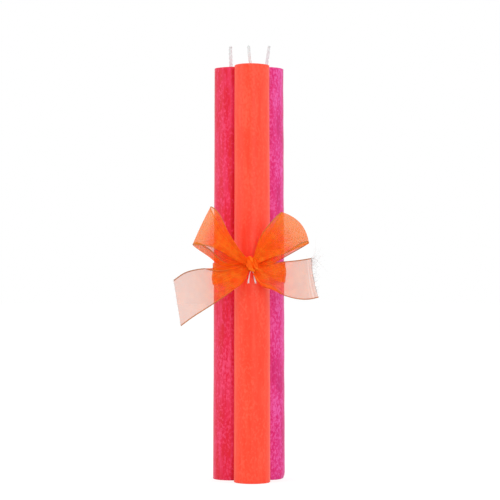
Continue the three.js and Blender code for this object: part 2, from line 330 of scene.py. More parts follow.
# A wax body as radius and height over two parameters, the way round and the way along its profile: flat
# foot, rounded foot edge, tapered side, rounded rim, top that climbs the wick a little, and the wick's bore.
def candleBody(name):
    sizes, kind = candleSizes, candleKinds[name]
    height, foot, rim = sizes["height"], sizes["footDiameter"] / 2, sizes["rimDiameter"] / 2
    rounding, shoulder = sizes["footRounding"], sizes["rimRounding"]
    turn = np.linspace(0, 2 * np.pi, sizes["roundSteps"], endpoint=False)
    facing = turn - math.radians(kind["wickFacing"])
    bore = sizes["wickClearance"] + 0.5 / np.hypot(
        np.cos(facing) / wickSizes["width"], np.sin(facing) / wickSizes["depth"])
    sweep = np.linspace(0, np.pi / 2, sizes["edgeSteps"])
    sideHeights = np.linspace(rounding, height - shoulder, sizes["sideSteps"])[1:-1]
    inwards = np.linspace(0, 1, sizes["topSteps"])[1:, None] ** sizes["topSpacing"]
    topRadius = (rim - shoulder) * (1 - inwards) + bore * inwards
    topHeight = height + sizes["collarHeight"] * np.exp(-(topRadius - bore) / sizes["collarSpread"])
    column = np.ones(len(turn))
    radius = np.vstack([
        np.outer(np.multiply(sizes["footRings"], foot), column),
        np.outer(foot - rounding + rounding * np.sin(sweep), column),
        np.outer(candleRadius(sideHeights), column),
        np.outer(rim - shoulder + shoulder * np.cos(sweep), column),
        topRadius,
        np.outer([1, 1], bore),
    ])
    z = np.vstack([
        np.outer(np.zeros(len(sizes["footRings"])), column),
        np.outer(rounding - rounding * np.cos(sweep), column),
        np.outer(sideHeights, column),
        np.outer(height - shoulder + shoulder * np.sin(sweep), column),
        topHeight,
        np.outer([height / 2, sizes["wickFoot"]], column),
    ])
    outer = np.clip(radius / rim, 0, 1) ** 2
    radius = radius + outer * unevenness(turn, z, int(kind["seed"] * 10))
    nearRim = smoothStep(z, height - sizes["rimDipBelow"], height)
    z = z + outer * nearRim * sizes["rimDip"] * np.sin(2 * turn + kind["seed"])
    if kind["nick"]:  # a worn corner at the foot
        away = np.angle(np.exp(1j * (turn - sizes["nickFacing"])))
        aside = np.exp(-(away / sizes["nickWidth"]) ** 2)
        low = np.clip(1 - z / sizes["nickHeight"], 0, 1) ** sizes["nickShape"]
        radius = radius - outer * aside * kind["nick"] * low
    points = axisPoint(name, z)
    points[..., 0] += radius * np.cos(turn)
    points[..., 1] += radius * np.sin(turn)
    return skinPart(points)


fibreShape = {
    "narrowing": 0.5,
    "waveShare": 0.4,
    "waveReach": 5,  # radians from root to tip
}


# Thin fibres: each a tube that narrows towards its tip, round a line that starts at a point and curls
# away to one side, with a smaller wave across the curl.
def fibreParts(starts, directions, lengths, diameter, curl, steps=9, sides=5):
    parts, shape = [], fibreShape
    share = np.linspace(0, 1, steps)
    for start, direction, length in zip(starts, directions, lengths):
        direction = direction / np.linalg.norm(direction)
        side = np.cross(direction, random.normal(size=3))
        side /= np.linalg.norm(side)
        other = np.cross(direction, side)
        bend = curl * length * share[:, None] ** 2
        wave = shape["waveShare"] * bend * np.sin(shape["waveReach"] * share[:, None])
        line = start + np.outer(share * length, direction) + bend * side + wave * other
        turn = np.linspace(0, 2 * np.pi, sides, endpoint=False)
        section = np.outer(np.cos(turn), side) + np.outer(np.sin(turn), other)
        thickness = diameter / 2 * (1 - shape["narrowing"] * share)
        rings = line[:, None] + thickness[:, None, None] * section
        parts.append(skinPart(rings, attributes={"cut": 1.0}))
    return parts


# A flat braided wick: an ellipse round a line that goes up the candle and leans over above it. The braid
# stands out where two families of strands, winding opposite ways, cross.
def wickParts(name):
    sizes, kind = wickSizes, candleKinds[name]
    top, show = candleSizes["height"], kind["wickShow"]
    start = candleSizes["wickFoot"] + sizes["footGap"]
    z = np.concatenate([
        np.linspace(start, top - sizes["plainBelow"], sizes["plainSteps"]),
        np.linspace(top - sizes["braidFrom"], top + show, sizes["showSteps"]),
    ])
    bend = np.clip((z - top) / show, 0, 1)
    facing = math.radians(kind["wickFacing"])
    turn = np.linspace(0, 2 * np.pi, sizes["roundSteps"], endpoint=False)
    wind = 2 * np.pi * z[:, None] / sizes["braidPitch"]
    braid = np.maximum(np.cos(3 * turn + wind), np.cos(3 * turn - wind))
    braided = smoothStep(z, top - sizes["braidFrom"], top + sizes["braidFull"])[:, None]
    relief = 1 + sizes["braidDepth"] * (braid - 1) * braided
    across = np.cos(turn) * sizes["width"] / 2 * relief
    through = np.sin(turn) * sizes["depth"] / 2 * relief
    points = np.repeat(axisPoint(name, z)[:, None], len(turn), axis=1)
    lean = bend[:, None] ** kind["wickCurve"]
    aside, back = kind["wickLean"]
    points[..., 0] += across * math.cos(facing) - through * math.sin(facing) + lean * aside
    points[..., 1] += across * math.sin(facing) + through * math.cos(facing) + lean * back
    cut = smoothStep(bend, sizes["cutShare"], 1)[:, None]
    points[..., 2] += cut * sizes["cutSlant"] * np.sin(2 * turn + kind["seed"])
    body = skinPart(points, attributes={"cut": cut})
    tip, count = points[-1].mean(0), sizes["fibres"]
    pick = random.integers(0, sizes["roundSteps"], count)
    starts = tip + (points[-1][pick] - tip) * random.uniform(*sizes["fibreWithin"], (count, 1))
    starts = starts - [0, 0, sizes["fibreRoot"]]
    tangle = random.normal(size=(count, 3)) * sizes["fibreTangle"]
    outwards = (starts - tip) * sizes["fibreSpread"] + [0, 0, 1] + tangle
    lengths = sizes["fibreLength"] * random.uniform(sizes["shortestFibre"], 1, count)
    return [body, *fibreParts(starts, outwards, lengths, sizes["fibreDiameter"], sizes["fibreCurl"])]


waxLook = {
    "fleckSize": (0.0012, 0.0012, 0.0018),
    "streakSize": (0.0026, 0.0026, 0.0220),
    "patchSize": (0.010, 0.010, 0.025),
    "crystalSize": (0.0030, 0.0030, 0.0052),
    "roughness": 0.40,
    "frostRoughness": 0.16,
    "bumpDepth": 0.00006,
    "shine": 0.3,
    "bloom": 0.08,
    "bloomSpread": 0.35,
    "depthWeight": 0.12,
    "depthColour": (1.0, 0.22, 0.14),
    "depth": 0.003,
    "patternPlace": (1, 1.7, 0.6),
    "frostPatches": 0.5,
    "frostFrom": (0.70, 0.95),
    "streakFrom": (0.45, 0.75),
    "featherFrom": (0.4, 0.65),
    "featherWidth": 0.22,
    "dullPatches": 0.6,
    "dullStreaks": 0.5,
    "dullFrom": (0.58, 0.4),
    "fleckShare": 0.6,
    "featherShare": 0.2,
    "streakShare": 0.4,
    "frostCover": 0.75,
    "bumpStrength": 0.6,
    "fleckBump": 0.6,
    "crystalBump": 0.4,
    "crystalEdge": 0.3,
}


# Through-dyed wax with a crystalline bloom: pale flecks that gather in patches, long soft streaks up the
# candle, feathery crystal edges, and duller stretches between them.
def waxMaterial(name):
    look, kind = waxLook, candleKinds[name]
    shader = Shader(bpy.data.materials.new(f"wax_{name}"))
    place = [kind["seed"] * share for share in look["patternPlace"]]
    patches = shader.noise(shader.grain(look["patchSize"], place), detail=2)
    flecks = shader.noise(shader.grain(look["fleckSize"], place), detail=2.5, roughness=0.55)
    streaks = shader.noise(shader.grain(look["streakSize"], place), detail=2)
    crystals = shader.node("TexVoronoi", {"feature": "DISTANCE_TO_EDGE"}, {
        "Vector": shader.grain(look["crystalSize"], place), "Scale": 1.0})
    feathers = (1 - crystals.between(0.0, look["featherWidth"])) * flecks.between(*look["featherFrom"])
    frost = (flecks + patches * look["frostPatches"]).between(*look["frostFrom"]) * look["fleckShare"]
    frost = frost + feathers * look["featherShare"]
    frost = (frost + streaks.between(*look["streakFrom"]) * look["streakShare"]).least(1.0)
    dull = (patches * look["dullPatches"] + streaks * look["dullStreaks"]).between(*look["dullFrom"])
    colour = shader.blend(dull * kind["mottle"], kind["wax"], kind["shade"])
    colour = shader.blend(frost * kind["mottle"] * look["frostCover"], colour, kind["frost"])
    height = flecks * look["fleckBump"] + crystals.between(0.0, look["crystalEdge"]) * look["crystalBump"]
    return shader.surface({
        "Base Color": colour,
        "Roughness": frost * look["frostRoughness"] + look["roughness"],
        "Normal": shader.bump(height, look["bumpDepth"], look["bumpStrength"]),
        "Specular IOR Level": look["shine"],
        "Sheen Weight": look["bloom"],
        "Sheen Roughness": look["bloomSpread"],
        "Subsurface Weight": look["depthWeight"],
        "Subsurface Radius": look["depthColour"],
        "Subsurface Scale": look["depth"],
    })


# The groove colours are painted shade for the hollows of the cotton's grain.
cottonLooks = {
    "wick": {"fresh": screenColour(226, 235, 235), "grooveShade": screenColour(195, 199, 199),
             "cutEnd": screenColour(210, 212, 210), "grain": (0.00016, 0.00016, 0.0005)},
    "cord": {"fresh": screenColour(255, 253, 250), "grooveShade": screenColour(236, 228, 222),
             "cutEnd": screenColour(250, 246, 242), "grain": (0.00012, 0.00012, 0.0003)},
}
cottonFinish = {
    "grooveShadeFrom": (0.62, 0.3), "grooveShadeShare": 0.5, "cutShare": 0.75,
    "roughness": 0.9, "fuzz": 0.3, "bumpDepth": 0.00005,
}


# Cotton: a fine fibrous grain with painted shade in its low grooves, where the bump is deepest, and greyer
# at cut ends.
def cottonMaterial(name):
    look, finish = cottonLooks[name], cottonFinish
    shader = Shader(bpy.data.materials.new(f"cotton_{name}"))
    grain = shader.noise(shader.grain(look["grain"]), detail=3)
    # Painted shade: darker where the grain's bump is low.
    paintedGrooveShade = grain.between(*finish["grooveShadeFrom"]) * finish["grooveShadeShare"]
    cut = shader.node("Attribute", {"attribute_name": "cut"}, output=2)
    colour = shader.blend(paintedGrooveShade, look["fresh"], look["grooveShade"])
    colour = shader.blend(cut * finish["cutShare"], colour, look["cutEnd"])
    return shader.surface({
        "Base Color": colour,
        "Roughness": finish["roughness"],
        "Normal": shader.bump(grain, finish["bumpDepth"]),
        "Sheen Weight": finish["fuzz"],
    })


cotton = cottonMaterial("wick")
for name in candleKinds:
    makePiece(f"{name}_candle_wax", [candleBody(name)], waxMaterial(name),
              f"{name}_candle", [f"{name}_wax"])
    makePiece(f"{name}_candle_wick", wickParts(name), cotton,
              f"{name}_candle", [f"{name}_wick"])
print("candles made")


# A point on the taut line round the three candles, at a distance outside their skin and at a height: an arc
# round each candle, and straight from one to the next. The way round is 0 to 1 from the front.
def aroundCandles(turn, outside, z):
    turn, outside, z = np.broadcast_arrays(turn, outside, z)
    radius = candleRadius(z) + outside
    straight = axisOffset(z) * math.sqrt(3)
    arc = 2 * np.pi * radius / 3
    along = (turn % 1) * 3 * (arc + straight) + arc / 2
    passed = np.floor(along / (arc + straight))
    along = along - passed * (arc + straight)
    front = footPlace["orange"] - bundleAxis
    side = math.atan2(front[1], front[0]) + passed * 2 * np.pi / 3
    facing = side - np.pi / 3 + np.minimum(along / arc, 1) * 2 * np.pi / 3
    beyond = np.maximum(along - arc, 0)
    x = bundleAxis[0] + axisOffset(z) * np.cos(side) + radius * np.cos(facing) - beyond * np.sin(facing)
    y = bundleAxis[1] + axisOffset(z) * np.sin(side) + radius * np.sin(facing) + beyond * np.cos(facing)
    return np.stack([x, y, z], axis=-1)


tieSizes = {
    "clearance": 0.00048,
    "cordDiameter": 0.0005,
    "cordAboveHem": 0.0018,
    "crossingGap": 0.0005,
    "crossingHeight": 0.1286,
    "cordEnds": 0.1196,
    "cordEndSpread": 0.0042,
    "pieceGap": 0.0001,
    "bandHeight": 0.008,
    "bandCentre": 0.1262,
    "knotCentre": 0.1305,
    "tilt": 4.2,
    "riseWithin": (0.03, 0.16),
}
cordMiddle = tieSizes["clearance"] + tieSizes["cordDiameter"] / 2
cordCrossing = tieSizes["cordDiameter"] + tieSizes["crossingGap"]
cordHeight = tieSizes["bandCentre"] - tieSizes["bandHeight"] / 2 + tieSizes["cordAboveHem"]
bandInside = tieSizes["clearance"] + tieSizes["cordDiameter"] + tieSizes["pieceGap"]
knotLow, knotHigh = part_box("ribbon_knot")
knotMiddle = np.array(knotLow + knotHigh) / 2
seat = aroundCandles(0, 0, tieSizes["knotCentre"])


# 1 at the front of the bundle and 0 away from it.
def nearFront(turn, inner, outer):
    return 1 - smoothStep(np.abs(turn - np.round(turn)), inner, outer)


# The tie lies a little lower on the left, and rises at the front to what is crossed or knotted there.
def tieLevel(turn, level, frontLevel, tilt=tieSizes["tilt"]):
    sideways = aroundCandles(turn, 0, level)[..., 0] - bundleAxis[0]
    tilted = level + sideways * math.tan(math.radians(tilt))
    return tilted + (frontLevel - tilted) * nearFront(turn, *tieSizes["riseWithin"])


# A smooth line through stations (a Catmull-Rom spline): a cubic between each two, with the slope at a
# station taken from its neighbours.
def splineThrough(stations, share):
    stations = np.asarray(stations, float)
    padded = np.vstack([2 * stations[0] - stations[1], stations, 2 * stations[-1] - stations[-2]])
    along = np.clip(share, 0, 1) * (len(stations) - 1)
    index = np.minimum(along.astype(int), len(stations) - 2)
    t = (along - index)[..., None]
    before, first, second, after = (padded[index + k] for k in range(4))
    return ((2 * t**3 - 3 * t**2 + 1) * first + (t**3 - 2 * t**2 + t) * (second - before) / 2
            + (3 * t**2 - 2 * t**3) * second + (t**3 - t**2) * (after - first) / 2)


cordSizes = {
    "aroundSteps": 24,
    "meet": 0.05,
    "steps": 900,
    "roundSteps": 20,
    "layPitch": 0.0024,
    "plies": 3,
    "plyDepth": 0.2,
    "plyShape": 0.6,
    "endShare": 0.045,
    "looseEnd": (0.3, 1.4),
    "cutEnd": 0.8,
    "cutGrey": 0.3,
    "endSwell": (0.6, 0.5),
    "frontLift": 0.00008,
    "frontShare": (0.1, 0.15),
    "joinLift": 0.00018,
    "joinShare": 0.159,
    "joinWidth": 0.02,
    "fibres": 26,
    "fibreLength": 0.0012,
    "shortestFibre": 0.3,  # as a share of the longest
    "fibreOut": 0.2,
    "fibreTangle": 0.25,
    "fibreCurl": 0.3,
    "fibreRoot": 0.0002,
}


# The binding cord's route: up from its left end, to the right behind the knot, once round the candles,
# across in front of itself and down on the right.
def cordRoute():
    crossing, ends = tieSizes["crossingHeight"], tieSizes["cordEnds"]

    # A place at the front: aside in end spreads, up from the ends to the crossing, out in layers of cord.
    def front(aside, rise, layer):
        return [knotMiddle[0] + aside * tieSizes["cordEndSpread"],
                seat[1] - cordMiddle - layer * cordCrossing,
                ends + (crossing - ends) * rise]

    turn = np.linspace(cordSizes["meet"], 1 - cordSizes["meet"], cordSizes["aroundSteps"] + 1)
    around = aroundCandles(turn, cordMiddle, tieLevel(turn, cordHeight, crossing))
    return np.vstack([
        front(-0.45, 0, 0.1), front(-0.35, 0.33, 0), front(-0.2, 0.67, 0),
        front(0.15, 0.93, 0), front(0.76, 1, 0),
        around,
        front(-0.62, 1.03, 0.7), front(-0.07, 1, 1), front(0.26, 0.62, 0.9),
        front(0.38, 0.33, 0.7), front(0.55, 0, 0.5),
    ])


# A laid cord: a round section whose plies stand out and wind along the route, and flare at its cut ends.
# It is lifted outwards where it flares, at its front and where it joins its round, to clear the wax.
def cordParts():
    sizes = cordSizes
    share = np.linspace(0, 1, sizes["steps"])
    line = splineThrough(cordRoute(), share)
    along = np.gradient(line, axis=0)
    step = np.linalg.norm(along, axis=1)
    along /= step[:, None]
    outward = line - bundleAxis
    outward[:, 2] = 0
    outward -= (outward * along).sum(1)[:, None] * along
    outward /= np.linalg.norm(outward, axis=1)[:, None]
    other = np.cross(along, outward)
    turn = np.linspace(0, 2 * np.pi, sizes["roundSteps"], endpoint=False)
    wind = 2 * np.pi * np.cumsum(step)[:, None] / sizes["layPitch"]
    ply = np.abs(np.sin(sizes["plies"] * (turn + wind) / 2)) ** sizes["plyShape"]
    fromEnd = np.minimum(share, 1 - share)[:, None]
    loose = 1 - smoothStep(fromEnd, *np.multiply(sizes["looseEnd"], sizes["endShare"]))
    cut = 1 - smoothStep(fromEnd, 0, sizes["cutEnd"] * sizes["endShare"])
    flare = sizes["endSwell"][0] * loose + sizes["endSwell"][1] * cut
    radius = tieSizes["cordDiameter"] / 2 * (1 - sizes["plyDepth"] * (1 - ply)) * (1 + flare)
    lift = sizes["frontLift"] * (1 - smoothStep(fromEnd, *sizes["frontShare"])) \
        + sizes["joinLift"] * np.exp(-((fromEnd - sizes["joinShare"]) / sizes["joinWidth"]) ** 2)
    line = line + outward * (flare * tieSizes["cordDiameter"] / 2 + lift)
    section = np.cos(turn)[:, None] * outward[:, None] + np.sin(turn)[:, None] * other[:, None]
    rings = line[:, None] + radius[..., None] * section
    body = skinPart(rings, attributes={"cut": cut * sizes["cutGrey"]})
    fibres, count, root = [], sizes["fibres"], sizes["fibreRoot"]
    for end, away, out in ((line[0], -along[0], outward[0]), (line[-1], along[-1], outward[-1])):
        tangle = random.normal(size=(count, 3)) * sizes["fibreTangle"]
        directions = away + out * sizes["fibreOut"] + tangle
        starts = end + random.normal(size=(count, 3)) * root - away * root
        lengths = sizes["fibreLength"] * random.uniform(sizes["shortestFibre"], 1, count)
        fibres += fibreParts(starts, directions, lengths, wickSizes["fibreDiameter"], sizes["fibreCurl"])
    return [body, *fibres]


makePiece("tie_cord", cordParts(), cottonMaterial("cord"), "ribbon_tie", ["binding_cord"])
print("binding cord made")


ribbonSizes = {
    "width": 0.025,
    "thickness": 0.00012,
    "hemThickness": 0.0003,
    "hemWidth": 0.03,
    "knotTilt": 30,
    "knotHeight": 0.0096,
    "knotWrapWidth": 0.0054,
    "knotDepth": 0.005,
    "startInKnot": 0.7,
    "shareRange": (0.12, 1.2),
    "creasedCover": 0.98,
    "mostCover": 0.94,
    "columns": 129,
}

organzaLook = {
    # The tails' colour is a darker copy of the cloth's colour, painted shade, and the loops' a lighter copy,
    # painted light.
    "paintedShadeColour": screenColour(222, 109, 6),
    "paintedLightColour": screenColour(250, 135, 8),
    "dense": screenColour(255, 96, 6),
    "hem": screenColour(188, 120, 66),
    "hemCover": 0.75,
    "patch": screenColour(255, 142, 28),
    "patchSize": (0.0035, 0.0035, 0.0035),
    "patchFrom": (0.4, 0.66),
    "patchShare": 0.45,
    "denseFrom": (0.03, 0.22),
    "hemEdge": (0.035, 0.018),
    "hemFrom": (0.55, 0.2),
    "hemShare": 0.8,
    "threads": 84,
    "threadEdge": (0.35, 0.75),
    "threadMean": 0.72,
    "weaveDepth": 0.3,
    "bumpDepth": 0.00004,
    "bumpStrength": 0.5,
    "roughness": 0.5,
    "shine": 0.12,
}


# Sheer organza. Cover is how much of the light one wall of the cloth stops: more where the ribbon is
# gathered, and nearly all at its selvage. A plain weave of fine threads shows in the cover and the relief.
# The same cloth gets a lighter copy of its colour on the loops, knot and band and a darker one on the tails:
# painted light and painted shade.
def organzaMaterial():
    look = organzaLook
    shader = Shader(bpy.data.materials.new("organza"))
    along = shader.node("SeparateXYZ", None, {"Vector": shader.node("UVMap", {"uv_map": "Cloth"})})
    across = along.sibling(1)
    cover = shader.node("Attribute", {"attribute_name": "cover"}, output=2)
    warp = (across * look["threads"]).zigzag()
    weft = (along * look["threads"]).zigzag()
    threads = warp.between(*look["threadEdge"]).most(weft.between(*look["threadEdge"]))
    edge = across.least(1 - across)
    gathered = shader.node("Attribute", {"attribute_name": "gathered"}, output=2)
    hem = edge.between(*look["hemEdge"]) * gathered.between(*look["hemFrom"])
    shown = cover + (threads - look["threadMean"]) * look["weaveDepth"] * (1 - cover)
    alpha = (shown * (1 - hem) + hem * look["hemCover"]).least(1.0)
    # Painted light: 1 takes the lighter copy of the cloth's colour, 0 the darker, painted-shade copy of the
    # tails.
    paintedLightShare = shader.node("Attribute", {"attribute_name": "paintedLightShare"}, output=2)
    colour = shader.blend(paintedLightShare, look["paintedShadeColour"], look["paintedLightColour"])
    colour = shader.blend(gathered.between(*look["denseFrom"]), colour, look["dense"])
    uneven = shader.noise(shader.grain(look["patchSize"]), detail=2)
    colour = shader.blend(uneven.between(*look["patchFrom"]) * look["patchShare"], colour, look["patch"])
    colour = shader.blend(hem * look["hemShare"], colour, look["hem"])
    return shader.surface({
        "Base Color": colour,
        "Roughness": look["roughness"],
        "Alpha": alpha,
        "Normal": shader.bump(warp.most(weft), look["bumpDepth"], look["bumpStrength"]),
        "Specular IOR Level": look["shine"],
    })


organza = organzaMaterial()


# One wall's share of the cover of a layer that is gathered to a share of its width. The light that passes
# is the flat cloth's to the power of one over that share, and each of the two walls passes its square root.
def wallCover(layer, share, extra=0):
    sizes = ribbonSizes
    whole = 1 - (1 - layer) ** (1 / np.clip(share, *sizes["shareRange"]))
    whole = whole + (sizes["creasedCover"] - whole) * np.clip(extra, 0, 1)
    return 1 - np.sqrt(1 - np.clip(whole, 0, sizes["mostCover"]))


# A closed thin sheet round a middle surface: both walls along its normals, a little thicker at the hems.
def sheetPart(surface, across, along, attributes, ends="ladder"):
    downRibbon, overRibbon = np.gradient(surface, axis=0), np.gradient(surface, axis=1)
    normal = np.cross(overRibbon, downRibbon)
    normal /= np.maximum(np.linalg.norm(normal, axis=-1, keepdims=True), 1e-12)
    bead = np.exp(-((1 - np.abs(across)) / ribbonSizes["hemWidth"]) ** 2)
    half = (ribbonSizes["thickness"] + bead * (ribbonSizes["hemThickness"] - ribbonSizes["thickness"])) / 2
    front, back = surface + normal * half[..., None], surface - normal * half[..., None]
    rings = np.concatenate([front, back[:, ::-1]], axis=1)
    uv = np.stack(np.broadcast_arrays(along, (across + 1) / 2), axis=-1)
    both = {}
    for key, value in attributes.items():
        value = np.broadcast_to(value, surface.shape[:2])
        both[key] = np.concatenate([value, value[:, ::-1]], axis=1)
    return skinPart(rings, ends, np.concatenate([uv, uv[:, ::-1]], axis=1), both)


# Columns across the ribbon from one hem, -1, to the other, 1, closer together at the hems.
def ribbonColumns(count):
    even = np.linspace(-1, 1, count)
    return np.sin(even * np.pi / 2) * 0.5 + even * 0.5


# How far the knot reaches from its middle in a direction across the front: a tilted oblong with rounded
# corners, as wide as the wrap and as high as the knot.
def knotReach(heading):
    angle = heading - math.radians(ribbonSizes["knotTilt"])
    acrossWrap = abs(math.cos(angle)) / (ribbonSizes["knotWrapWidth"] / 2)
    alongWrap = abs(math.sin(angle)) / (ribbonSizes["knotHeight"] / 2)
    return (acrossWrap ** 3 + alongWrap ** 3) ** (-1 / 3)


# Each piece of the bow has stations from its gathered end at the knot outwards, and a loop goes on back to
# the knot behind its front layer. A station gives the share of the way from the knot to the tip, the share
# of the reach that it lies aside of the heading, the share of the piece's depth that it lies behind the
# piece's own plane, the slope of the line across the ribbon in degrees, and the share of the ribbon's width
# that it spans. A fold turns a hem over between two shares of the piece's length. The phase of the pleats
# is in radians.
# Loops take the lighter, painted-light copy of the cloth's colour, and tails the darker, painted-shade copy.
bowPieces = {
    "loop_left": {
        "node": "bow_loop_left", "heading": 143, "reach": 0.0371, "plane": 0, "depth": 0.0066,
        "tipBulge": 0.0004, "pleats": 15, "gather": (0.25, 0.5), "phase": 0.4, "steps": 220, "tip": 0.5,
        "cover": 0.62, "paintedLightShare": 1, "strands": False,
        "folds": [{"side": -1, "from": 0.5, "to": 0.98, "size": 0.45}],
        "stations": [
            [0, 0.02, -0.14, 76, 0.14], [0.21, 0.02, -0.55, 60, 0.26], [0.51, -0.02, -1, 63, 0.46],
            [0.78, -0.06, -0.94, 67, 0.79], [0.94, -0.03, -0.45, 63, 0.97], [1, -0.01, -0.06, 64.6, 1],
            [0.93, 0.01, 0.29, 68, 0.98], [0.7, 0.05, 0.45, 75, 0.86], [0.41, 0.11, 0.42, 75, 0.67],
            [0.18, 0.09, 0.29, 73, 0.37], [0, 0.03, 0.14, 76, 0.14],
        ],
    },
    "loop_right": {
        "node": "bow_loop_right", "heading": 40, "reach": 0.0333, "plane": 0, "depth": 0.0066,
        "tipBulge": 0.0041, "pleats": 15, "gather": (0.25, 0.5), "phase": 2.1, "steps": 220, "tip": 0.5,
        "cover": 0.62, "paintedLightShare": 1, "strands": False,
        "folds": [{"side": -1, "from": 0.2, "to": 0.5, "size": 0.2}],
        "stations": [
            [0, 0, -0.14, 110, 0.14], [0.25, 0.04, -0.55, 127, 0.42], [0.51, 0.04, -0.97, 130, 0.72],
            [0.8, 0.03, -0.88, 127, 0.91], [0.95, 0.01, -0.42, 130, 0.98], [1, 0, -0.03, 132, 0.99],
            [0.89, -0.01, 0.29, 131, 0.92], [0.7, -0.02, 0.44, 128, 0.8], [0.44, -0.04, 0.41, 126, 0.62],
            [0.22, -0.06, 0.29, 122, 0.42], [0, -0.01, 0.14, 110, 0.14],
        ],
    },
    "tail_left": {
        "node": "ribbon_tail_left", "heading": 208, "reach": 0.0499, "plane": 0.0016, "depth": 0.0036,
        "tipBulge": 0, "pleats": 13, "gather": (0.3, 0.3), "phase": 1.2, "steps": 130, "tip": None,
        "cover": 0.53, "paintedLightShare": 0, "strands": False,
        "folds": [{"side": 1, "from": 0.12, "to": 0.6, "size": 0.3}],
        "stations": [
            [0, 0.01, 0, 104, 0.13], [0.14, 0.05, -0.06, 106, 0.4], [0.27, 0.04, 0.08, 103, 0.57],
            [0.46, 0.02, 0.39, 99, 0.79], [0.65, -0.01, 0.67, 100, 0.98], [0.83, -0.02, 0.89, 99, 1.1],
            [1, 0, 1, 99, 1.12],
        ],
    },
    "tail_right": {
        "node": "ribbon_tail_right", "heading": 348, "reach": 0.0385, "plane": 0.0016, "depth": 0.0036,
        "tipBulge": -0.001, "pleats": 13, "gather": (0.3, 0.3), "phase": 2.9, "steps": 130, "tip": None,
        "cover": 0.53, "paintedLightShare": 0, "strands": True,
        "folds": [{"side": -1, "from": 0.02, "to": 0.5, "size": 0.36}],
        "stations": [
            [0, -0.06, 0, 72, 0.28], [0.17, -0.1, -0.06, 77, 0.6], [0.33, -0.11, 0.08, 87, 0.67],
            [0.5, -0.11, 0.33, 89, 0.81], [0.7, -0.09, 0.61, 92, 0.92], [0.87, -0.05, 0.78, 94, 0.97],
            [1, 0, 0.89, 100, 0.96],
        ],
    },
}


pleatSizes = {
    "wander": 0.07,
    "wanderTurns": 2.3,
    "drift": 0.5,  # radians
    "driftAlong": 3,  # radians from the knot to the end
    "crispness": 0.93,
    "backFrom": (0.46, 0.56),
    "swell": 0.0006,
    "swellTurns": 1.5,
    "swellShift": 1.3,
    "swellFrom": (0.1, 0.4),
}


# Pleats across the ribbon: a rounded zigzag whose depth takes up the width that the gathering leaves over,
# pressed flat on the front of a loop and open on its back, and a few broad soft folds towards the knot.
def pleatDepth(piece, across, along, share):
    sizes, count, start = pleatSizes, piece["pleats"], piece["phase"]
    wander = sizes["wander"] * np.sin(sizes["wanderTurns"] * np.pi * across + start)
    phase = np.pi * count * (across + wander) + start + sizes["drift"] * np.sin(
        sizes["driftAlong"] * along + start)
    zigzag = np.arcsin(sizes["crispness"] * np.sin(phase)) / math.asin(sizes["crispness"])
    spare = np.sqrt(np.maximum(0, 1 - np.clip(share, 0, 1) ** 2))
    front, back = piece["gather"]
    gather = front + (back - front) * smoothStep(along, *sizes["backFrom"])
    pleats = zigzag * gather * ribbonSizes["width"] / (4 * count) * spare
    swell = np.sin(sizes["swellTurns"] * np.pi * across + sizes["swellShift"] * start)
    swell = swell * np.clip(1 - share, 0, 1)
    return pleats + swell * smoothStep(share, *sizes["swellFrom"]) * sizes["swell"]


clothSizes = {
    "foldShape": 0.7,
    "foldTurn": 0.02,
    "foldTurnGrowth": 0.05,
    "foldRise": 0.0006,
    "coverShape": 1.5,
    "creaseCover": 0.55,
    "creaseWidth": 0.006,
    "stripeLoss": 0.3,
    "stripeFrom": (0.84, 0.9),
    "stripeAlong": 105,  # radians from the knot to the cut end
    "stripeSlant": 1.5,  # radians from the middle to a hem
}


